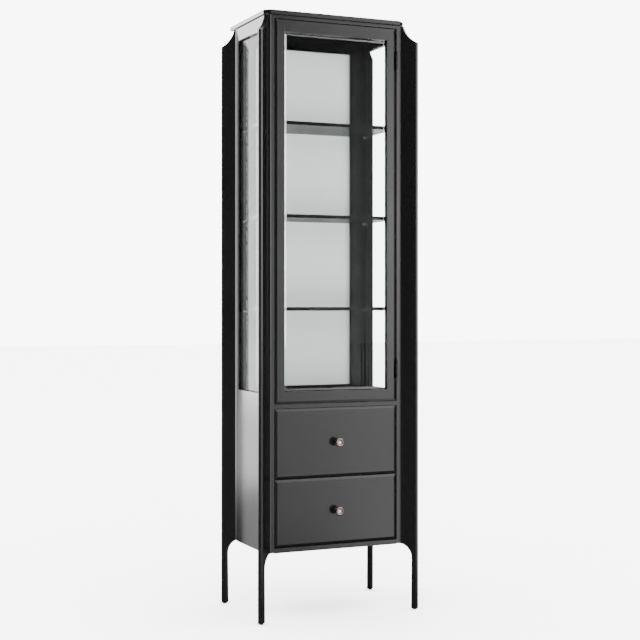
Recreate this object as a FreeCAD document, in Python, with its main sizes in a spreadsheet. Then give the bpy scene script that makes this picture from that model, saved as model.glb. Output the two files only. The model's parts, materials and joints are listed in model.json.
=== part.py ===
import FreeCAD, Part
import math
import os
import Sketcher

# Tall display cabinet: four corner posts with diagonal fins, one glazed door, glazed sides, three shelves
# and two drawers. The origin is the centre of the footprint on the floor, +Z is up, the front faces -Y.

# Driving dimensions in millimetres. Each becomes one cell of the sheet, under the same alias.
DIMENSIONS = {
    # whole cabinet
    "overall_width": 600.0,
    "overall_depth": 406.0,
    "carcass_top": 2046.0,
    "body_top": 2049.5,
    "spacer_inset": 8.0,
    "top_thick": 14.5,
    "top_overhang": 4.0,
    "top_rear_inset": 2.5,
    "top_clip": 21.0,
    "top_round": 3.0,
    # corner posts
    "fin_reach": 60.0,
    "fin_thick": 18.0,
    "fin_edge_tip": 4.7,
    "fin_edge_side": 3.5,
    "cove_radius": 12.0,
    "strip_width": 16.0,
    "leg_depth": 22.0,
    "leg_draft": 2.0,
    "core_bottom": 228.0,
    "leg_curve": 50.0,
    "glide_height": 4.0,
    "glide_radius": 7.0,
    "scoop_radius": 90.0,
    "scoop_out": 93.2,
    "scoop_rise": 20.3,
    # boards of the carcass
    "bottom_top": 244.0,
    "rail_bottom": 716.0,
    "rail_top": 729.6,
    "header_bottom": 2036.0,
    "side_recess": 0.3,
    "side_thick": 18.0,
    # glazed sides
    "glazing_bottom": 768.0,
    "glazing_top": 2000.0,
    "side_stile": 9.0,
    "side_bevel": 2.0,
    "side_glass_in": 6.5,
    "side_glass_thick": 4.0,
    "side_groove": 4.0,
    "groove_depth": 5.0,
    "groove_slack": 0.4,
    # back
    "back_frame_front": 138.5,
    "back_frame_thick": 14.0,
    "back_panel_thick": 6.0,
    "back_stile": 44.0,
    "back_rail_bottom": 775.0,
    "back_rail_top": 1988.0,
    "back_bevel": 2.0,
    "panel_slack": 2.0,
    "screw_head": 4.0,
    "screw_height": 2.0,
    # shelves
    "first_shelf_top": 1059.0,
    "shelf_pitch": 318.5,
    "shelf_thick": 12.0,
    "shelf_half_width": 236.0,
    "shelf_front": 128.0,
    "shelf_back": 131.0,
    "pin_radius": 2.5,
    "pin_length": 9.0,
    # door
    "gap": 3.0,
    "front_thick": 20.0,
    "bevel_width": 8.5,
    "bevel_depth": 3.0,
    "door_bottom": 731.5,
    "door_top": 2034.5,
    "door_stile": 34.0,
    "opening_bottom": 772.0,
    "opening_top": 1992.0,
    "glass_setback": 9.0,
    "door_glass_thick": 5.0,
    "glass_bevel_width": 15.0,
    "glass_bevel_depth": 2.0,
    "hinge_offset": 3.8,
    "hinge_low": 843.0,
    "hinge_high": 1924.0,
    "hinge_length": 65.0,
    "knuckle_radius": 3.6,
    "hinge_pin_radius": 1.5,
    "pin_slack": 0.05,
    "pin_cap": 2.0,
    "leaf_thick": 1.2,
    "leaf_depth": 17.0,
    "catch_width": 40.0,
    "catch_depth": 15.0,
    "catch_height": 12.0,
    "catch_from_centre": 180.0,
    "strike_thick": 1.0,
    # drawers
    "lower_front_bottom": 246.5,
    "upper_front_bottom": 477.5,
    "lower_front_height": 228.0,
    "upper_front_height": 237.0,
    "drawer_half_width": 222.0,
    "drawer_side_thick": 12.0,
    "drawer_back": 118.0,
    "drawer_wall": 150.0,
    "drawer_lift": 20.0,
    "drawer_bottom_thick": 6.0,
    "runner_height": 35.0,
    "runner_lift": 50.0,
    "slide_thick": 5.0,
    "runner_slack": 0.3,
    "knob_radius": 11.6,
    "knob_ring": 3.9,
    "knob_length": 27.0,
    "knob_stem": 5.0,
    "knob_base": 9.0,
    "knob_base_thick": 2.5,
    "knob_cup_thick": 4.0,
    "crystal_radius": 5.6,
    "crystal_tip": 2.9,
    "crystal_height": 5.5,
}

doc = FreeCAD.newDocument("ChinaCabinet")
sheet = doc.addObject("Spreadsheet::Sheet", "Sizes")
for row, (alias, value) in enumerate(DIMENSIONS.items(), start=1):
    sheet.set("A%d" % row, alias)
    sheet.set("B%d" % row, str(value))
    sheet.setAlias("B%d" % row, alias)
doc.recompute()

parts = []

# Places shared by several pieces, written in terms of the sheet. The fins stand at 45 degrees.
DIAGONAL = "0.70710678"
SIDE = "(Sizes.overall_width/2 - %s*Sizes.fin_reach)" % DIAGONAL
FRONT = "(%s*Sizes.fin_reach - Sizes.overall_depth/2)" % DIAGONAL
CORE = "(%s*Sizes.fin_thick + Sizes.strip_width)" % DIAGONAL
INNER = "(%s - %s)" % (SIDE, CORE)
MIDDLE = "(-(%s) - %s)" % (FRONT, CORE)
SIDE_FACE = "(%s - Sizes.side_recess)" % SIDE
SIDE_INSIDE = "(%s - Sizes.side_thick)" % SIDE_FACE
GLASS_OUT = "(%s - Sizes.side_glass_in)" % SIDE_FACE
GLASS_IN = "(%s - Sizes.side_glass_thick)" % GLASS_OUT
SIDE_OPENING = "(%s - Sizes.side_stile)" % MIDDLE
BACK_FRAME = "(Sizes.back_frame_front + Sizes.back_frame_thick)"
FRAME_EDGE = "(%s - Sizes.back_stile)" % INNER
DOOR_HALF = "(%s - Sizes.gap)" % INNER
DOOR_BACK = "(%s + Sizes.front_thick)" % FRONT
OPENING_HALF = "(%s - Sizes.door_stile)" % DOOR_HALF
HINGE_X = "(%s - Sizes.gap/2)" % INNER
HINGE_Y = "(%s - Sizes.hinge_offset)" % FRONT
TALL = "Sizes.body_top"
AXIS_TO_FRONT = FreeCAD.Rotation(FreeCAD.Vector(1, 0, 0), 90)
AXIS_TO_BACK = FreeCAD.Rotation(FreeCAD.Vector(1, 0, 0), -90)
AXIS_TO_RIGHT = FreeCAD.Rotation(FreeCAD.Vector(0, 1, 0), 90)
SIDES = (("left", -1), ("right", 1))


def negative(expression):
    """The same distance on the other side of the origin."""
    return "-(%s)" % expression


def sided(sign, low, high):
    """Low and high X of something that lies between two distances left (-1) or right (+1) of the centre."""
    return (low, high) if sign > 0 else (negative(high), negative(low))


def place(obj, x="0", y="0", z="0", rotation=None):
    """Binds a piece's position to the sheet."""
    if rotation is not None:
        obj.Placement = FreeCAD.Placement(FreeCAD.Vector(), rotation)
    for axis, expression in zip("xyz", (x, y, z)):
        obj.setExpression("Placement.Base." + axis, expression)


def keep(obj, label):
    """Marks an object as a finished sub-part."""
    obj.Label = label
    parts.append(obj)
    return obj


def bind(obj, **sizes):
    """Binds several sizes of an object to the sheet."""
    for prop, expression in sizes.items():
        obj.setExpression(prop, expression)


def block(name, x, y, z):
    """A rectangular solid between low and high expressions along each axis."""
    solid = doc.addObject("Part::Box", name)
    bind(solid, Length="%s - (%s)" % (x[1], x[0]), Width="%s - (%s)" % (y[1], y[0]),
         Height="%s - (%s)" % (z[1], z[0]))
    place(solid, x[0], y[0], z[0])
    return solid


def board(label, x, y, z):
    """A plain board that is a sub-part by itself."""
    return keep(block(label + "_stock", x, y, z), label)


def rod(name, radius, length, x, y, z, rotation=None):
    """A round bar from a starting point, along +Z unless it is turned."""
    solid = doc.addObject("Part::Cylinder", name)
    bind(solid, Radius=radius, Height=length)
    place(solid, x, y, z, rotation)
    return solid


def taper(name, near, far, y, rotation=None, x="0"):
    """A solid that changes from one rectangle, (half x, low z, high z), to another along its own +Y."""
    solid = doc.addObject("Part::Wedge", name)
    bind(solid, Xmin=negative(near[0]), Xmax=near[0], Zmin=near[1], Zmax=near[2],
         X2min=negative(far[0]), X2max=far[0], Z2min=far[1], Z2max=far[2],
         Ymin="0 mm", Ymax="%s - (%s)" % (y[1], y[0]))
    place(solid, x, y[0] if rotation is None else "0", "0", rotation)
    return solid


def joined(name, pieces):
    """One solid made from several."""
    result = doc.addObject("Part::MultiFuse", name)
    result.Shapes = pieces
    return result


def common(name, first, second):
    """The part two solids share."""
    result = doc.addObject("Part::Common", name)
    result.Base = first
    result.Tool = second
    return result


def cut(name, base, tool):
    """The first solid without the second."""
    result = doc.addObject("Part::Cut", name)
    result.Base = base
    result.Tool = tool
    return result


def group(label, pieces):
    """Several identical fittings that share one name, each its own solid."""
    result = doc.addObject("Part::Compound", label + "_set")
    result.Links = pieces
    return keep(result, label)


def origin_plane(body, role):
    """One of a body's own origin planes."""
    return [feature for feature in body.Origin.OriginFeatures if feature.Role == role][0]


def new_sketch(body, name, plane, offset=None):
    """An empty sketch on one of the body's origin planes."""
    sketch = body.newObject("Sketcher::SketchObject", name)
    sketch.AttachmentSupport = (origin_plane(body, plane), [""])
    sketch.MapMode = "FlatFace"
    if offset is not None:
        sketch.setExpression("AttachmentOffset.Base.z", offset)
    return sketch


def fix_point(sketch, geometry, end, x, y, seed):
    """Ties a point of a sketch to the origin by expressions; "0" puts it on the axis."""
    for kind, expression, axis, value in (("DistanceX", x, -2, seed.x), ("DistanceY", y, -1, seed.y)):
        if expression == "0":
            sketch.addConstraint(Sketcher.Constraint("PointOnObject", geometry, end, axis))
        else:
            index = sketch.addConstraint(Sketcher.Constraint(kind, -1, 1, geometry, end, value))
            sketch.setExpression("Constraints[%d]" % index, expression)


def outline(body, name, plane, points, offset=None):
    """A closed outline of straight edges whose corners are given as expressions."""
    sketch = new_sketch(body, name, plane, offset)
    count = len(points)
    turns = [2 * math.pi * i / count + 0.1 for i in range(count)]
    seeds = [FreeCAD.Vector(100 * math.cos(turn), 100 * math.sin(turn), 0) for turn in turns]
    for i in range(count):
        sketch.addGeometry(Part.LineSegment(seeds[i], seeds[(i + 1) % count]), False)
    for i in range(count):
        sketch.addConstraint(Sketcher.Constraint("Coincident", i, 2, (i + 1) % count, 1))
    for i, (x, y) in enumerate(points):
        fix_point(sketch, i, 1, x, y, seeds[i])
    return sketch


def disc(body, name, plane, x, y, radius):
    """A circle whose centre and radius are given as expressions."""
    sketch = new_sketch(body, name, plane)
    centre = FreeCAD.Vector(10, 10, 0)
    sketch.addGeometry(Part.Circle(centre, FreeCAD.Vector(0, 0, 1), 20), False)
    fix_point(sketch, 0, 3, x, y, centre)
    index = sketch.addConstraint(Sketcher.Constraint("Radius", 0, 20.0))
    sketch.setExpression("Constraints[%d]" % index, radius)
    return sketch


def pad(body, sketch, length):
    """Raises a sketch into a solid."""
    feature = body.newObject("PartDesign::Pad", sketch.Name + "_pad")
    feature.Profile = sketch
    feature.setExpression("Length", length)
    return feature


def carve(body, sketch):
    """Removes a sketch's outline through the whole body, both ways from its plane."""
    feature = body.newObject("PartDesign::Pocket", sketch.Name + "_cut")
    feature.Profile = sketch
    feature.SideType = "Symmetric"
    feature.setExpression("Length", TALL)
    return feature


def upright_edges(shape, x, half_y, tolerance=0.05):
    """Names of the vertical edges that stand at x, half_y to either side of the local X axis."""
    names = []
    for number, edge in enumerate(shape.Edges, start=1):
        start = edge.Vertexes[0].Point
        end = edge.Vertexes[-1].Point
        upright = abs(start.x - end.x) < tolerance and abs(start.y - end.y) < tolerance
        if upright and abs(start.x - x) < tolerance and abs(abs(start.y) - half_y) < tolerance:
            names.append("Edge%d" % number)
    return names


def corner_post(label, sign_x, sign_y):
    """A square core with a diagonal fin that runs down into a slim leg; its local +X points outward."""
    body = keep(doc.addObject("PartDesign::Body", label + "_body"), label)
    half = "Sizes.fin_thick/2"
    strip = "Sizes.strip_width*" + DIAGONAL
    shoulder = "(%s + %s)" % (strip, half)
    section = outline(body, label + "_section", "XY_Plane", [
        ("Sizes.fin_reach", "%s - Sizes.fin_edge_tip" % half),
        ("Sizes.fin_reach - Sizes.fin_edge_side", half),
        ("0", half),
        (negative(strip), shoulder),
        ("-(%s + %s)" % (strip, shoulder), "0"),
        (negative(strip), negative(shoulder)),
        ("0", negative(half)),
        ("Sizes.fin_reach - Sizes.fin_edge_side", negative(half)),
        ("Sizes.fin_reach", "Sizes.fin_edge_tip - %s" % half),
    ], "Sizes.glide_height")
    shaft = pad(body, section, "Sizes.carcass_top - Sizes.glide_height")
    doc.recompute()
    cove = body.newObject("PartDesign::Fillet", label + "_coves")
    cove.Base = (shaft, upright_edges(shaft.Shape, 0, sheet.fin_thick / 2))
    cove.setExpression("Radius", "Sizes.cove_radius")
    leg_inside = "Sizes.fin_reach - Sizes.leg_depth"
    curve_x = "(%s + Sizes.leg_draft - Sizes.leg_curve)" % leg_inside
    curve_z = "(Sizes.core_bottom + Sizes.leg_draft - Sizes.leg_curve)"
    past = "-Sizes.fin_reach"
    carve(body, outline(body, label + "_leg", "XZ_Plane", [
        (past, "0"),
        (leg_inside, "0"),
        (leg_inside + " + Sizes.leg_draft", curve_z),
        (curve_x, curve_z),
        (curve_x, "Sizes.core_bottom + Sizes.leg_draft"),
        (past, "Sizes.core_bottom"),
    ]))
    carve(body, disc(body, label + "_arch", "XZ_Plane", curve_x, curve_z, "Sizes.leg_curve"))
    carve(body, disc(body, label + "_scoop", "XZ_Plane", "Sizes.scoop_out",
                     "Sizes.body_top + Sizes.scoop_rise", "Sizes.scoop_radius"))
    doc.recompute()
    inset = DIAGONAL + "*Sizes.fin_thick/2"
    turn = math.degrees(math.atan2(sign_y, sign_x))
    body.Placement = FreeCAD.Placement(FreeCAD.Vector(), FreeCAD.Rotation(FreeCAD.Vector(0, 0, 1), turn))
    body.setExpression("Placement.Base.x", "%d*(%s - %s)" % (sign_x, SIDE, inset))
    body.setExpression("Placement.Base.y", "%d*(-(%s) - %s)" % (sign_y, FRONT, inset))
    return body


def foot_glides():
    """A round pad under each leg."""
    pads = []
    inset = "%s*(Sizes.leg_depth/2)" % DIAGONAL
    spread = DIAGONAL + "*Sizes.fin_thick/2"
    for sign_x in (-1, 1):
        for sign_y in (-1, 1):
            x = "%d*(Sizes.overall_width/2 - %s - %s)" % (sign_x, inset, spread)
            y = "%d*(Sizes.overall_depth/2 - %s - %s)" % (sign_y, inset, spread)
            pads.append(rod("glide_%d" % len(pads), "Sizes.glide_radius", "Sizes.glide_height", x, y, "0"))
    return group("foot_glides", pads)


def top_board():
    """The top, clipped at the front corners and square at the rear, with a rounded upper edge."""
    body = keep(doc.addObject("PartDesign::Body", "top_board_body"), "top_board")
    half = "(%s + Sizes.top_overhang)" % SIDE
    front = "(%s - Sizes.top_overhang)" % FRONT
    rear = "(Sizes.overall_depth/2 - Sizes.top_rear_inset)"
    sketch = outline(body, "top_outline", "XY_Plane", [
        (negative(half), rear),
        (half, rear),
        (half, "%s + Sizes.top_clip" % front),
        ("%s - Sizes.top_clip" % half, front),
        ("-(%s - Sizes.top_clip)" % half, front),
        (negative(half), "%s + Sizes.top_clip" % front),
    ], "Sizes.body_top")
    slab = pad(body, sketch, "Sizes.top_thick")
    doc.recompute()
    top = max(range(len(slab.Shape.Faces)), key=lambda i: slab.Shape.Faces[i].CenterOfMass.z)
    edge = body.newObject("PartDesign::Fillet", "top_round")
    edge.Base = (slab, ["Face%d" % (top + 1)])
    edge.setExpression("Radius", "Sizes.top_round")
    return body


def top_spacer():
    """A thin board set back all round, so that a dark line shows under the top."""
    half = "(%s - Sizes.spacer_inset)" % SIDE
    depth = "(-(%s) - Sizes.spacer_inset)" % FRONT
    height = ("Sizes.carcass_top", "Sizes.body_top")
    board("top_spacer", (negative(half), half), (negative(depth), depth), height)


def notched_board(label, bottom, top):
    """A full-depth board whose four corners are notched round the posts."""
    body = keep(doc.addObject("PartDesign::Body", label + "_body"), label)
    right = [
        (INNER, FRONT),
        (INNER, negative(MIDDLE)),
        (SIDE_INSIDE, negative(MIDDLE)),
        (SIDE_INSIDE, MIDDLE),
        (INNER, MIDDLE),
        (INNER, BACK_FRAME),
    ]
    left = [(negative(x), y) for x, y in reversed(right)]
    sketch = outline(body, label + "_outline", "XY_Plane", right + left, bottom)
    pad(body, sketch, "%s - %s" % (top, bottom))
    return body


def glazed_side(side, sign):
    """Frieze, lower panel and two stiles round one side window, and the glass in their groove."""
    across = sided(sign, SIDE_INSIDE, SIDE_FACE)
    depth = (negative(MIDDLE), MIDDLE)
    height = ("Sizes.glazing_bottom", "Sizes.glazing_top")
    reach = "(%s + Sizes.side_groove)" % SIDE_OPENING
    low = "Sizes.glazing_bottom - Sizes.side_groove"
    high = "Sizes.glazing_top + Sizes.side_groove"
    groove = block(side + "_groove", sided(sign, "%s - Sizes.groove_slack/2" % GLASS_IN,
                                           "%s + Sizes.groove_slack/2" % GLASS_OUT),
                   (negative(reach), reach), (low, high))
    bevel = taper(side + "_window_bevel", (SIDE_OPENING, height[0], height[1]),
                  ("(%s + Sizes.side_bevel)" % SIDE_OPENING, "%s - Sizes.side_bevel" % height[0],
                   "%s + Sizes.side_bevel" % height[1]), ("0", "Sizes.side_bevel"),
                  FreeCAD.Rotation(FreeCAD.Vector(0, 0, 1), -90 * sign),
                  "%d*(%s - Sizes.side_bevel)" % (sign, SIDE_FACE))
    sight = joined(side + "_window_cutter", [groove, bevel])
    members = {
        side + "_top_rail": (depth, ("Sizes.glazing_top", "Sizes.carcass_top")),
        side + "_lower_panel": (depth, ("Sizes.core_bottom", "Sizes.glazing_bottom")),
        side + "_front_glazing_stile": ((negative(MIDDLE), negative(SIDE_OPENING)), height),
        side + "_rear_glazing_stile": ((SIDE_OPENING, MIDDLE), height),
    }
    for label, (y, z) in members.items():
        keep(cut(label + "_shaped", block(label + "_stock", across, y, z), sight), label)
    ease = "(%s - Sizes.groove_slack)" % reach
    board(side + "_side_glass", sided(sign, GLASS_IN, GLASS_OUT), (negative(ease), ease),
          ("%s + Sizes.groove_slack" % low, "%s - Sizes.groove_slack" % high))


def back():
    """The framed back seen inside the display space, the panel behind it and the screws that hold it."""
    depth = ("Sizes.back_frame_front", BACK_FRAME)
    height = ("Sizes.rail_top", "Sizes.header_bottom")
    bevel = taper("back_bevel_cutter", ("(%s + Sizes.back_bevel)" % FRAME_EDGE,
                                        "Sizes.back_rail_bottom - Sizes.back_bevel",
                                        "Sizes.back_rail_top + Sizes.back_bevel"),
                  (FRAME_EDGE, "Sizes.back_rail_bottom", "Sizes.back_rail_top"),
                  (depth[0], "Sizes.back_frame_front + Sizes.back_bevel"))
    members = {
        "back_left_stile": (sided(-1, FRAME_EDGE, INNER), height),
        "back_right_stile": (sided(1, FRAME_EDGE, INNER), height),
        "back_bottom_rail": ((negative(FRAME_EDGE), FRAME_EDGE), (height[0], "Sizes.back_rail_bottom")),
        "back_top_rail": ((negative(FRAME_EDGE), FRAME_EDGE), ("Sizes.back_rail_top", height[1])),
    }
    for label, (x, z) in members.items():
        keep(cut(label + "_shaped", block(label + "_stock", x, depth, z), bevel), label)
    half = "(%s - Sizes.panel_slack)" % INNER
    rear = "(%s + Sizes.back_panel_thick)" % BACK_FRAME
    board("back_panel", (negative(half), half), (BACK_FRAME, rear),
          ("Sizes.core_bottom + Sizes.panel_slack", "Sizes.carcass_top - Sizes.panel_slack"))
    screws = []
    inset = "(%s - Sizes.back_stile/2)" % INNER
    for share in (0.02, 0.26, 0.5, 0.74, 0.98):
        z = "Sizes.rail_top + %s*(Sizes.header_bottom - Sizes.rail_top)" % share
        for x in (inset, negative(inset)):
            screws.append(rod("screw_%d" % len(screws), "Sizes.screw_head", "Sizes.screw_height",
                              x, rear, z, AXIS_TO_BACK))
    return group("back_panel_screws", screws)


def shelves():
    """Three loose shelves, each on four pins that stand out from the window stiles."""
    pins = []
    spot = "(%s - Sizes.side_stile/2)" % MIDDLE
    for level, label in enumerate(("lower_shelf", "middle_shelf", "upper_shelf")):
        top = "(Sizes.first_shelf_top + %d*Sizes.shelf_pitch)" % level
        under = "(%s - Sizes.shelf_thick)" % top
        board(label, ("-Sizes.shelf_half_width", "Sizes.shelf_half_width"),
              ("-Sizes.shelf_front", "Sizes.shelf_back"), (under, top))
        for x in (negative(SIDE_INSIDE), "%s - Sizes.pin_length" % SIDE_INSIDE):
            for y in (spot, negative(spot)):
                pins.append(rod("pin_%d" % len(pins), "Sizes.pin_radius", "Sizes.pin_length",
                                x, y, "%s - Sizes.pin_radius" % under, AXIS_TO_RIGHT))
    return group("shelf_pins", pins)


def bevelled_front(name, bottom, top):
    """The solid of a door or drawer front, bevelled on all four outer edges."""
    step = "(%s + Sizes.bevel_depth)" % FRONT
    flat = taper(name + "_bevel", ("(%s - Sizes.bevel_width)" % DOOR_HALF, "%s + Sizes.bevel_width" % bottom,
                                   "%s - Sizes.bevel_width" % top), (DOOR_HALF, bottom, top), (FRONT, step))
    body = block(name + "_slab", (negative(DOOR_HALF), DOOR_HALF), (step, DOOR_BACK), (bottom, top))
    return joined(name + "_blank", [flat, body])


def door():
    """Two stiles and two rails in one bevelled outline, with bevel-edged glass in their groove."""
    blank = bevelled_front("door", "Sizes.door_bottom", "Sizes.door_top")
    depth = (FRONT, DOOR_BACK)
    face = "(%s + Sizes.glass_setback)" % FRONT
    rear = "(%s + Sizes.door_glass_thick)" % face
    reach = "(%s + Sizes.groove_depth)" % OPENING_HALF
    low = "(Sizes.opening_bottom - Sizes.groove_depth)"
    high = "(Sizes.opening_top + Sizes.groove_depth)"
    groove = block("door_groove", (negative(reach), reach),
                   (face, "%s + Sizes.groove_slack" % rear), (low, high))
    height = ("Sizes.door_bottom", "Sizes.door_top")
    middle = (negative(OPENING_HALF), OPENING_HALF)
    members = {
        "door_left_stile": (sided(-1, OPENING_HALF, DOOR_HALF), height),
        "door_right_stile": (sided(1, OPENING_HALF, DOOR_HALF), height),
        "door_bottom_rail": (middle, (height[0], "Sizes.opening_bottom")),
        "door_top_rail": (middle, ("Sizes.opening_top", height[1])),
    }
    for label, (x, z) in members.items():
        stock = common(label + "_piece", blank, block(label + "_stock", x, depth, z))
        keep(cut(label + "_shaped", stock, groove), label)
    half = "(%s - Sizes.groove_slack)" % reach
    bottom = "(%s + Sizes.groove_slack)" % low
    top = "(%s - Sizes.groove_slack)" % high
    step = "(%s + Sizes.glass_bevel_depth)" % face
    inner = ("(%s - Sizes.glass_bevel_width)" % half, "%s + Sizes.glass_bevel_width" % bottom,
             "%s - Sizes.glass_bevel_width" % top)
    facet = taper("door_glass_bevel", inner, (half, bottom, top), (face, step))
    pane = block("door_glass_pane", (negative(half), half), (step, rear), (bottom, top))
    keep(joined("door_glass_solid", [facet, pane]), "door_glass")


def hinge_leaf(name, x, levels, height):
    """One leaf: a plate in the gap, and knuckles round the axis joined to it at the given levels."""
    reach = (HINGE_Y, "%s + Sizes.leaf_depth" % HINGE_Y)
    clear = "%s + Sizes.knuckle_radius + Sizes.groove_slack" % HINGE_Y
    pieces = [block(name + "_plate", x, (clear, reach[1]), height)]
    for number, (low, high) in enumerate(levels):
        tag = "%s_%d" % (name, number)
        length = "%s - (%s)" % (high, low)
        pieces.append(rod(tag + "_knuckle", "Sizes.knuckle_radius", length, HINGE_X, HINGE_Y, low))
        pieces.append(block(tag + "_tongue", x, reach, (low, high)))
    bore = rod(name + "_bore", "Sizes.hinge_pin_radius", "Sizes.hinge_length", HINGE_X, HINGE_Y, height[0])
    return cut(name + "_half", joined(name + "_solid", pieces), bore)


def hinges():
    """Two butt hinges: leaves in the gap beside the door and knuckles just in front of it."""
    frame_side = []
    door_side = []
    pins = []
    frame_leaf = ("%s - Sizes.leaf_thick" % INNER, INNER)
    door_leaf = (DOOR_HALF, "%s + Sizes.leaf_thick" % DOOR_HALF)
    for name, centre in (("low", "Sizes.hinge_low"), ("high", "Sizes.hinge_high")):
        start = "(%s - Sizes.hinge_length/2)" % centre
        end = "(%s + Sizes.hinge_length/2)" % centre
        first = "(%s + Sizes.hinge_length/3)" % start
        second = "(%s - Sizes.hinge_length/3)" % end
        outer = ((start, "(%s - Sizes.groove_slack)" % first), ("(%s + Sizes.groove_slack)" % second, end))
        frame_side.append(hinge_leaf(name + "_frame_leaf", frame_leaf, outer, (start, end)))
        door_side.append(hinge_leaf(name + "_door_leaf", door_leaf, ((first, second),), (start, end)))
        pins.append(rod(name + "_hinge_pin", "Sizes.hinge_pin_radius - Sizes.pin_slack",
                        "Sizes.hinge_length + Sizes.pin_cap", HINGE_X, HINGE_Y,
                        "%s - Sizes.pin_cap/2" % start))
    group("hinge_frame_leaves", frame_side)
    group("hinge_door_leaves", door_side)
    group("hinge_pins", pins)


def door_catch():
    """A magnet under the header and a steel plate on the back of the door, at the opening edge."""
    x = ("-(Sizes.catch_from_centre + Sizes.catch_width/2)",
         "-(Sizes.catch_from_centre - Sizes.catch_width/2)")
    plate_back = "(%s + Sizes.strike_thick)" % DOOR_BACK
    z = ("Sizes.header_bottom - Sizes.catch_height", "Sizes.header_bottom")
    board("magnet_catch", x, ("%s + Sizes.groove_slack" % plate_back,
                              "%s + Sizes.catch_depth" % plate_back), z)
    height = ("%s - Sizes.pin_cap" % z[0], "Sizes.door_top - Sizes.pin_cap")
    board("strike_plate", x, (DOOR_BACK, plate_back), height)


def knob(label, middle):
    """A turned knob with a ring-shaped head round a faceted centre."""
    head = "(%s - Sizes.knob_length)" % FRONT
    cup_back = "%s + Sizes.knob_cup_thick" % head
    turned = []
    for name, radius, length, start in (("_stem", "Sizes.knob_stem", "Sizes.knob_length", FRONT),
                                        ("_base", "Sizes.knob_base", "Sizes.knob_base_thick", FRONT),
                                        ("_cup", "Sizes.knob_radius", "Sizes.knob_cup_thick", cup_back)):
        turned.append(rod(label + name, radius, length, "0", start, middle, AXIS_TO_FRONT))
    ring = doc.addObject("Part::Torus", label + "_ring")
    bind(ring, Radius1="Sizes.knob_radius", Radius2="Sizes.knob_ring")
    place(ring, "0", head, middle, AXIS_TO_FRONT)
    keep(joined(label + "_solid", turned + [ring]), label)
    crystal = doc.addObject("Part::Cone", label + "_crystal_cone")
    bind(crystal, Radius1="Sizes.crystal_radius", Radius2="Sizes.crystal_tip",
         Height="Sizes.crystal_height")
    place(crystal, "0", head, middle, AXIS_TO_FRONT)
    keep(crystal, label + "_crystal")


def drawer(name, bottom, height):
    """A bevelled front, a box behind it, a knob, and the half of each runner that moves with it."""
    top = "(%s + %s)" % (bottom, height)
    keep(bevelled_front(name, bottom, top), name + "_front")
    low = "(%s + Sizes.drawer_lift)" % bottom
    high = "(%s + Sizes.drawer_wall)" % low
    inside = "(Sizes.drawer_half_width - Sizes.drawer_side_thick)"
    back_face = "(Sizes.drawer_back - Sizes.drawer_side_thick)"
    for side, sign in SIDES:
        board(name + "_%s_side" % side, sided(sign, inside, "Sizes.drawer_half_width"),
              (DOOR_BACK, "Sizes.drawer_back"), (low, high))
    board(name + "_back", (negative(inside), inside), (back_face, "Sizes.drawer_back"), (low, high))
    board(name + "_bottom", (negative(inside), inside), (DOOR_BACK, back_face),
          (low, "%s + Sizes.drawer_bottom_thick" % low))
    knob(name + "_knob", "(%s + %s/2)" % (bottom, height))
    rail_low = "(%s + Sizes.runner_lift)" % low
    rail = (rail_low, "%s + Sizes.runner_height" % rail_low)
    slide_out = "(Sizes.drawer_half_width + Sizes.slide_thick)"
    slide = (negative(MIDDLE), "Sizes.drawer_back")
    moving = []
    fixed = []
    for side, sign in SIDES:
        moving.append(block(name + "_slide_" + side, sided(sign, "Sizes.drawer_half_width", slide_out),
                            slide, rail))
        fixed.append(block(name + "_runner_" + side, sided(sign, "%s + Sizes.runner_slack" % slide_out,
                                                           SIDE_INSIDE), slide, rail))
    group(name + "_slides", moving)
    group(name + "_runners", fixed)


def build():
    """Makes every sub-part."""
    for label, sign_x, sign_y in (("front_left_post", -1, -1), ("front_right_post", 1, -1),
                                  ("rear_left_post", -1, 1), ("rear_right_post", 1, 1)):
        corner_post(label, sign_x, sign_y)
    foot_glides()
    top_board()
    notched_board("header_board", "Sizes.header_bottom", "Sizes.carcass_top")
    top_spacer()
    notched_board("display_floor", "Sizes.rail_bottom", "Sizes.rail_top")
    notched_board("bottom_board", "Sizes.core_bottom", "Sizes.bottom_top")
    for side, sign in SIDES:
        glazed_side(side, sign)
    back()
    shelves()
    door()
    hinges()
    door_catch()
    drawer("upper_drawer", "Sizes.upper_front_bottom", "Sizes.upper_front_height")
    drawer("lower_drawer", "Sizes.lower_front_bottom", "Sizes.lower_front_height")


build()
doc.recompute()

for obj in doc.Objects:
    if any(word in obj.State for word in ("Invalid", "Error")):
        raise RuntimeError("%s is %s" % (obj.Name, obj.State))
os.makedirs("parts", exist_ok=True)
for obj in parts:
    if obj.Shape.isNull() or not obj.Shape.isValid():
        raise RuntimeError(obj.Label + " has no valid shape")
for obj in parts:
    obj.Shape.exportStep("parts/%s.step" % obj.Label)
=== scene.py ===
import json
import math

import bpy
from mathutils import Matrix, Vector

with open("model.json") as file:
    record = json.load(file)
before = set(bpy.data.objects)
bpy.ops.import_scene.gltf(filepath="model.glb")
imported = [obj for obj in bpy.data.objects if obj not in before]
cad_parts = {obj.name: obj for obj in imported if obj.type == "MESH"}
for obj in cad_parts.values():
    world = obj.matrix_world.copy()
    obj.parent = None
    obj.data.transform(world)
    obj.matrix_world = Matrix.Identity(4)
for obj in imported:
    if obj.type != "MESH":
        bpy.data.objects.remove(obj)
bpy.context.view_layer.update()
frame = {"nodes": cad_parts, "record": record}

# Glass: how strongly the flat faces of a coated pane reflect, and how strongly its bevelled edges do.
FLAT_SHINE = 0.12
FACET_SHINE = 3.0
GLASS_INDEX = 1.48
# How square to an axis a face of a pane is: bevelled edges lie below the first value.
FACET_LIMIT = 0.992
FLAT_LIMIT = 0.998

# Steps, each as the value before, the value after, and where it starts and ends.
# The noise steps cover the part of the range that the noise really uses.
NOISE_START = 0.3
NOISE_END = 0.7
WORN_EDGE = (1.0, 0.0, 0.80, 0.99)
REAR_SIDE = (0.0, 1.0, 0.4, 0.6)

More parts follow.
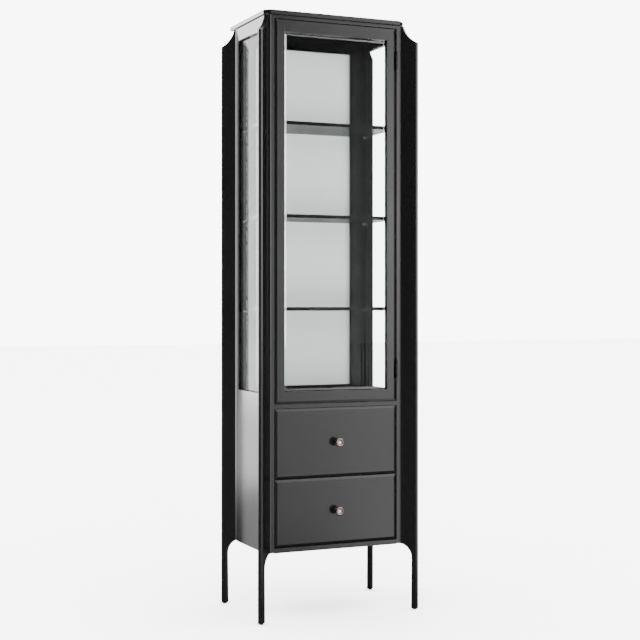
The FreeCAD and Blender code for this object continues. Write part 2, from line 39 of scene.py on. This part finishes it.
# Painted shade: reflections see the floor's colour painted dark close to the cabinet, at both sides and a
# little in the middle.
FLOOR_SIZE = 60.0
FLOOR_TONE = (0.92, 0.92, 0.92)
FLOOR_PAINTED_SHADE = (0.02, 0.02, 0.02)
FLOOR_NEAR = (1.0, 0.0, 0.9, 1.6)
FLOOR_LEFT = (1.0, 0.0, -0.3, 0.1)
FLOOR_AHEAD = (1.0, 0.0, 0.3, 0.6)
FLOOR_RIGHT = (0.0, 1.0, 0.5, 0.85)
FLOOR_MIDDLE = (0.76, 0.42, 0.28, 0.46)

# The studio: its soft light, then its backdrop as the camera itself sees it.
BACKDROP = (4.4, 8.5, 0.0, 1.0)
# What reflections see in front of the cabinet, from left to right and upwards.
RISE_TO_RIGHT = (1.0, 9.5, 0.36, 0.48)
RIGHT_EDGE = (1.0, 0.006, 0.54, 0.85)
LEFT_EDGE = (0.04, 1.0, -0.30, 0.10)
UPPER_EDGE = (1.0, 0.5, 0.08, 0.22)
# An upright bright strip in front.
STRIP_LEFT = (0.0, 12.0, 0.02, 0.07)
STRIP_RIGHT = (1.0, 0.0, 0.12, 0.18)
STRIP_FRONT = (1.0, 0.0, -0.6, -0.3)
# A soft band overhead.
BAND_LOW = (0.0, 2.0, 0.30, 0.42)
BAND_HIGH = (1.0, 0.0, 0.60, 0.75)
# Reflections of things behind two faces of glass or more are darker.
BEHIND_GLASS = (1.0, 0.12, 2.5, 3.5)

# The windows: name, place, height of the middle, width, height, radiance.
BACK_LEFT = (-1.9, 3.0)
FAR_LEFT = (-3.2, 1.35)
WINDOWS = (
    ("back_window", BACK_LEFT, 1.9, 3.2, 2.8, 9.3),
    ("back_window_low", BACK_LEFT, 0.25, 3.2, 0.5, 3.6),
    ("side_window", FAR_LEFT, 1.9, 1.1, 2.8, 11.0),
    ("side_window_low", FAR_LEFT, 0.25, 1.1, 0.5, 15.0),
)
FILL_PLACE = (-0.6, -4.5, 2.8)
FILL_TARGET = (0.0, 0.0, 1.2)
FILL_SIZE = 2.5
FILL_POWER = 110.0
OVERHEAD_STRENGTH = 11.0
OVERHEAD_SPREAD = math.radians(120.0)

# The viewpoint: level, at about mid height, turned to see the front and the left side.
CAMERA_PLACE = (-1.9402, -4.6941, 1.0776)
CAMERA_TURN = -0.441
LENS = 80.55
SENSOR_WIDTH = 36.0
SHIFT_X = -0.108
SHIFT_Y = -0.0284


def shaded(colour, factor):
    """A colour made darker or lighter by a factor."""
    return tuple(factor * value for value in colour)


class Graph:
    """A node tree under construction, with a few shortcuts."""

    def __init__(self, owner):
        owner.use_nodes = True
        self.nodes = owner.node_tree.nodes
        self.links = owner.node_tree.links

    def link(self, source, target):
        self.links.new(source, target)

    def parts(self, vector):
        """The X, Y and Z of a vector."""
        node = self.nodes.new("ShaderNodeSeparateXYZ")
        self.link(vector, node.inputs[0])
        return (node.outputs[axis] for axis in "XYZ")

    def ranged(self, source, low, high, start=NOISE_START, end=NOISE_END):
        """Maps a value from start..end to low..high."""
        node = self.nodes.new("ShaderNodeMapRange")
        node.inputs["From Min"].default_value = start
        node.inputs["From Max"].default_value = end
        node.inputs["To Min"].default_value = low
        node.inputs["To Max"].default_value = high
        self.link(source, node.inputs["Value"])
        return node.outputs["Result"]

    def smooth(self, source, low, high, start, end):
        """Maps a value like ranged, with a soft start and end."""
        result = self.ranged(source, low, high, start, end)
        result.node.interpolation_type = "SMOOTHSTEP"
        return result

    def calculate(self, operation, first, *others):
        """An arithmetic step between values, in turn; a value may be a plain number."""
        result = first
        for value in others:
            node = self.nodes.new("ShaderNodeMath")
            node.operation = operation
            self.link(result, node.inputs[0])
            if isinstance(value, float):
                node.inputs[1].default_value = value
            else:
                self.link(value, node.inputs[1])
            result = node.outputs[0]
        return result

    def product(self, *values):
        """Values multiplied."""
        return self.calculate("MULTIPLY", *values)

    def greater(self, *values):
        """The largest of several values."""
        return self.calculate("MAXIMUM", *values)

    def total(self, *values):
        """Values added up."""
        return self.calculate("ADD", *values)

    def magnitude(self, value):
        """The value without its sign."""
        node = self.nodes.new("ShaderNodeMath")
        node.operation = "ABSOLUTE"
        self.link(value, node.inputs[0])
        return node.outputs[0]

    def vector_step(self, operation, *vectors):
        """A step between vectors, as a node."""
        node = self.nodes.new("ShaderNodeVectorMath")
        node.operation = operation
        for vector, socket in zip(vectors, node.inputs):
            self.link(vector, socket)
        return node

    def mixed(self, factor, first, second):
        """A colour between two colours."""
        node = self.nodes.new("ShaderNodeMix")
        node.data_type = "RGBA"
        for socket, value in ((node.inputs[6], first), (node.inputs[7], second)):
            if isinstance(value, tuple):
                socket.default_value = value + (1.0,)
            else:
                self.link(value, socket)
        self.link(factor, node.inputs[0])
        return node.outputs[2]

    def blend(self, factor, first, second, target):
        """Feeds a mix of two shaders into a target."""
        node = self.nodes.new("ShaderNodeMixShader")
        self.link(factor, node.inputs[0])
        self.link(first.outputs[0], node.inputs[1])
        self.link(second.outputs[0], node.inputs[2])
        self.link(node.outputs[0], target)


class Shader(Graph):
    """A material under construction."""

    def __init__(self, name):
        self.material = bpy.data.materials.new(name)
        super().__init__(self.material)
        self.surface = self.nodes["Principled BSDF"]
        self.output = self.nodes["Material Output"]
        coordinates = self.nodes.new("ShaderNodeTexCoord")
        self.place = coordinates.outputs["Object"]
        self.facing = coordinates.outputs["Normal"]

    def set(self, **values):
        """Sets constant values on the main shader; underscores stand for spaces."""
        for key, value in values.items():
            self.surface.inputs[key.replace("_", " ")].default_value = value

    def feed(self, **sources):
        """Links sources to the main shader; underscores stand for spaces."""
        for key, source in sources.items():
            self.link(source, self.surface.inputs[key.replace("_", " ")])

    def noise(self, scale, detail=3.0, stretch=(1, 1, 1)):
        """Soft random variation from 0 to 1 over the object's own space."""
        mapping = self.nodes.new("ShaderNodeMapping")
        mapping.inputs["Scale"].default_value = stretch
        self.link(self.place, mapping.inputs["Vector"])
        node = self.nodes.new("ShaderNodeTexNoise")
        node.inputs["Scale"].default_value = scale
        node.inputs["Detail"].default_value = detail
        self.link(mapping.outputs["Vector"], node.inputs["Vector"])
        return node.outputs["Fac"]

    def edges(self, radius):
        """1 on worn outside edges and 0 on flat faces, with the normal rounded at the edges."""
        bevel = self.nodes.new("ShaderNodeBevel")
        bevel.samples = 4
        bevel.inputs["Radius"].default_value = radius
        geometry = self.nodes.new("ShaderNodeNewGeometry")
        dot = self.vector_step("DOT_PRODUCT", bevel.outputs["Normal"], geometry.outputs["Normal"])
        return self.ranged(dot.outputs["Value"], *WORN_EDGE), bevel.outputs["Normal"]

    def bump(self, height, strength, distance, normal=None):
        """Feeds a height into the main shader's normal."""
        node = self.nodes.new("ShaderNodeBump")
        node.inputs["Strength"].default_value = strength
        node.inputs["Distance"].default_value = distance
        self.link(height, node.inputs["Height"])
        if normal is not None:
            self.link(normal, node.inputs["Normal"])
        self.feed(Normal=node.outputs["Normal"])


def lacquer(name, colour, worn_colour, roughness):
    """Sprayed satin lacquer: slight orange peel, uneven sheen, soft edges rubbed a little paler."""
    shader = Shader(name)
    worn, normal = shader.edges(radius=0.0009)
    patches = shader.ranged(shader.noise(scale=60.0), 0.0, 1.0)
    sheen = shader.noise(scale=5.0, detail=4.0)
    shader.feed(
        Base_Color=shader.mixed(shader.product(worn, patches), colour, worn_colour),
        Roughness=shader.ranged(sheen, roughness * 0.85, roughness * 1.2),
    )
    shader.bump(shader.noise(scale=380.0, detail=2.0), 0.06, 0.0004, normal)
    shader.set(IOR=1.5)
    return shader.material


def back_board(name, face, rear, roughness):
    """A thin board lacquered on the face that shows through the door and left dark and dull behind."""
    shader = Shader(name)
    _, along_depth, _ = shader.parts(shader.facing)
    behind = shader.ranged(along_depth, *REAR_SIDE)
    mottled = shader.ranged(shader.noise(scale=30.0, detail=6.0), 0.0, 1.0)
    rear_tone = shader.mixed(mottled, rear, shaded(rear, 1.5))
    clouded = shader.mixed(shader.product(mottled, 0.15), face, shaded(face, 0.93))
    shader.feed(
        Base_Color=shader.mixed(behind, clouded, rear_tone),
        Roughness=shader.ranged(behind, roughness, 0.75, 0.0, 1.0),
    )
    shader.bump(shader.noise(scale=420.0, detail=2.0), 0.08, 0.0003)
    return shader.material


def stained_wood(name, dark, light, roughness):
    """Dark stained wood with a fine straight grain."""
    shader = Shader(name)
    worn, normal = shader.edges(radius=0.0008)
    grain = shader.ranged(shader.noise(scale=14.0, detail=8.0, stretch=(1.0, 1.0, 26.0)), 0.0, 1.0)
    shader.feed(
        Base_Color=shader.mixed(worn, shader.mixed(grain, dark, light), light),
        Roughness=shader.ranged(grain, roughness, roughness * 1.3, 0.0, 1.0),
    )
    shader.bump(grain, 0.12, 0.0003, normal)
    return shader.material


def metal(name, colour, worn_colour, roughness, streak=(1, 1, 1)):
    """Metal with small scratches, uneven polish and brighter edges."""
    shader = Shader(name)
    worn, normal = shader.edges(radius=0.0006)
    tarnish = shader.ranged(shader.noise(scale=90.0, detail=4.0), 0.0, 1.0)
    clean = shader.mixed(worn, colour, worn_colour)
    polish = shader.noise(scale=220.0, stretch=streak)
    shader.feed(
        Base_Color=shader.mixed(shader.product(tarnish, 0.35), clean, shaded(colour, 0.6)),
        Roughness=shader.ranged(polish, roughness * 0.7, roughness * 1.3),
    )
    shader.bump(shader.noise(scale=500.0, detail=2.0, stretch=streak), 0.08, 0.0002, normal)
    shader.set(Metallic=1.0)
    return shader.material


def plastic(name, colour, roughness):
    """Moulded plastic with a fine even texture."""
    shader = Shader(name)
    worn, normal = shader.edges(radius=0.0006)
    shader.feed(
        Base_Color=shader.mixed(worn, colour, shaded(colour, 2.5)),
        Roughness=shader.ranged(shader.noise(scale=200.0), roughness * 0.9, roughness * 1.1),
    )
    shader.bump(shader.noise(scale=900.0, detail=2.0), 0.15, 0.0002, normal)
    return shader.material


def glass(name, tint):
    """Clear coated glass with faint smears; its bevelled edges reflect more than its flat faces."""
    shader = Shader(name)
    shader.nodes.remove(shader.surface)
    across, deep, _ = shader.parts(shader.facing)
    squarest = shader.greater(shader.magnitude(across), shader.magnitude(deep))
    strength = shader.ranged(squarest, FLAT_SHINE, FACET_SHINE, FLAT_LIMIT, FACET_LIMIT)
    fresnel = shader.nodes.new("ShaderNodeFresnel")
    fresnel.inputs["IOR"].default_value = GLASS_INDEX
    clear = shader.nodes.new("ShaderNodeBsdfTransparent")
    clear.inputs["Color"].default_value = tint + (1.0,)
    gloss = shader.nodes.new("ShaderNodeBsdfGlossy")
    smears = shader.noise(scale=9.0, detail=5.0)
    shader.link(shader.ranged(smears, 0.01, 0.05), gloss.inputs["Roughness"])
    shine = shader.product(fresnel.outputs["Fac"], strength)
    shader.blend(shine, clear, gloss, shader.output.inputs["Surface"])
    return shader.material


def cut_glass(name, bright, dark):
    """A small faceted stone: part clear, part silvered from behind."""
    shader = Shader(name)
    cells = shader.nodes.new("ShaderNodeTexVoronoi")
    cells.inputs["Scale"].default_value = 260.0
    shader.link(shader.place, cells.inputs["Vector"])
    facets = shader.ranged(cells.outputs["Distance"], 0.0, 1.0, 0.0, 0.6)
    shader.feed(
        Base_Color=shader.mixed(facets, bright, dark),
        Roughness=shader.ranged(facets, 0.02, 0.12, 0.0, 1.0),
    )
    shader.bump(facets, 0.5, 0.0006)
    shader.set(Transmission_Weight=0.15, IOR=1.55, Coat_Weight=1.0, Coat_Roughness=0.03)
    return shader.material


def finishes():
    """One material for each material slot of the record."""
    slots = (
        ("black_lacquer", lacquer, (0.0015, 0.0015, 0.0017), (0.06, 0.06, 0.06), 0.20),
        ("back_panel_lacquer", back_board, (0.46, 0.465, 0.46), (0.012, 0.0115, 0.011), 0.34),
        ("clear_glass", glass, (0.965, 0.985, 0.975)),
        ("crystal", cut_glass, (0.62, 0.60, 0.60), (0.25, 0.24, 0.25)),
        ("knob_metal", metal, (0.25, 0.195, 0.18), (0.62, 0.54, 0.50), 0.24),
        ("hinge_metal", metal, (0.05, 0.05, 0.05), (0.22, 0.22, 0.22), 0.35),
        ("zinc_steel", metal, (0.55, 0.56, 0.57), (0.8, 0.8, 0.8), 0.3, (1, 8, 1)),
        ("catch_plastic", plastic, (0.02, 0.02, 0.02), 0.4),
        ("drawer_wood", stained_wood, (0.030, 0.026, 0.023), (0.075, 0.064, 0.052), 0.4),
        ("glide_plastic", plastic, (0.03, 0.03, 0.03), 0.5),
    )
    return {name: make(name, *values) for name, make, *values in slots}


def paint():
    """Gives every CAD piece the finish that the record names for it."""
    materials = finishes()
    for entry in frame["record"]["subparts"]:
        piece = frame["nodes"][entry["node"]]
        piece.data.materials.clear()
        piece.data.materials.append(materials[entry["material_slot"]])


def floor():
    """A plain pale floor whose colour is painted dark in places for reflections only, as painted shade."""
    bpy.ops.mesh.primitive_plane_add(size=FLOOR_SIZE, location=(0, 0, 0))
    plane = bpy.context.object
    plane.name = "studio_floor"
    shader = Shader("studio_floor")
    distance = shader.vector_step("LENGTH", shader.place).outputs["Value"]
    across, deep, _ = shader.parts(shader.vector_step("NORMALIZE", shader.place).outputs[0])
    left = shader.product(shader.ranged(across, *FLOOR_LEFT), shader.ranged(deep, *FLOOR_AHEAD))
    right = shader.ranged(across, *FLOOR_RIGHT)
    middle = shader.ranged(across, *FLOOR_MIDDLE)
    # Painted shade: this mask paints the floor's colour dark where reflections see it; the camera still
    # sees it pale.
    dark = shader.greater(shader.ranged(distance, *FLOOR_NEAR), left, right, middle)
    path = shader.nodes.new("ShaderNodeLightPath")
    reflected = shader.product(path.outputs["Is Glossy Ray"], dark)
    shader.feed(Base_Color=shader.mixed(reflected, FLOOR_TONE, FLOOR_PAINTED_SHADE))
    shader.set(Roughness=0.8, Specular_IOR_Level=0.1)
    plane.data.materials.append(shader.material)
    return plane


def sky():
    """A white studio. Reflections see it darker at both sides, with one bright upright strip in front."""
    world = bpy.data.worlds.new("studio")
    bpy.context.scene.world = world
    graph = Graph(world)
    path = graph.nodes.new("ShaderNodeLightPath")
    even = graph.nodes["Background"]
    even.inputs["Color"].default_value = (1.0, 1.0, 1.0, 1.0)
    graph.link(graph.smooth(path.outputs["Is Camera Ray"], *BACKDROP), even.inputs["Strength"])
    place = graph.nodes.new("ShaderNodeTexCoord")
    x, y, z = graph.parts(place.outputs["Generated"])
    left_edge = graph.smooth(x, *LEFT_EDGE)
    front = graph.product(
        graph.smooth(x, *RISE_TO_RIGHT),
        graph.smooth(x, *RIGHT_EDGE),
        left_edge,
        graph.smooth(z, *UPPER_EDGE),
    )
    strip = graph.product(
        graph.smooth(x, *STRIP_LEFT),
        graph.smooth(x, *STRIP_RIGHT),
        graph.smooth(y, *STRIP_FRONT),
    )
    band = graph.product(graph.smooth(z, *BAND_LOW), graph.smooth(z, *BAND_HIGH), left_edge)
    dimmed = graph.smooth(path.outputs["Transparent Depth"], *BEHIND_GLASS)
    reflected = graph.nodes.new("ShaderNodeBackground")
    graph.link(graph.product(graph.total(front, strip, band), dimmed), reflected.inputs["Strength"])
    surface = graph.nodes["World Output"].inputs["Surface"]
    graph.blend(path.outputs["Glossy Depth"], even, reflected, surface)


def add_light(name, kind):
    """A new light of a kind, with its settings."""
    data = bpy.data.lights.new(name, kind)
    lamp = bpy.data.objects.new(name, data)
    bpy.context.collection.objects.link(lamp)
    return lamp, data


def area_light(name, location, target, width, height, power):
    """A soft rectangular light, unseen by the camera itself."""
    lamp, data = add_light(name, "AREA")
    data.shape = "RECTANGLE"
    data.size = width
    data.size_y = height
    data.energy = power
    lamp.location = location
    lamp.rotation_euler = (Vector(target) - Vector(location)).to_track_quat("-Z", "Y").to_euler()
    lamp.visible_camera = False
    return lamp


def window_light(name, place, middle, width, height, radiance):
    """An upright rectangular light; its power follows from its radiance."""
    power = radiance * math.pi * width * height
    return area_light(name, (*place, middle), (0.0, 0.0, middle), width, height, power)


def light_only(lamp, collection_name, objects):
    """Lets a light reach only the given objects."""
    group = bpy.data.collections.get(collection_name) or bpy.data.collections.new(collection_name)
    for item in objects:
        if item.name not in group.objects:
            group.objects.link(item)
    lamp.light_linking.receiver_collection = group


def lights(plane):
    """Windows behind on the left for the cabinet, light from above for the floor, a soft fill in front."""
    for window in WINDOWS:
        light_only(window_light(*window), "lit_by_windows", frame["nodes"].values())
    overhead, data = add_light("overhead", "SUN")
    data.energy = OVERHEAD_STRENGTH
    data.angle = OVERHEAD_SPREAD
    light_only(overhead, "lit_by_overhead", [plane])
    fill = area_light("front_fill", FILL_PLACE, FILL_TARGET, FILL_SIZE, FILL_SIZE, FILL_POWER)
    fill.visible_glossy = False


def camera():
    """The camera at the viewpoint given above."""
    data = bpy.data.cameras.new("camera")
    view = bpy.data.objects.new("camera", data)
    bpy.context.collection.objects.link(view)
    view.location = CAMERA_PLACE
    view.rotation_euler = (math.radians(90.0), 0.0, CAMERA_TURN)
    data.lens = LENS
    data.sensor_width = SENSOR_WIDTH
    data.shift_x = SHIFT_X
    data.shift_y = SHIFT_Y
    bpy.context.scene.camera = view


paint()
floor_plane = floor()
sky()
lights(floor_plane)
camera()
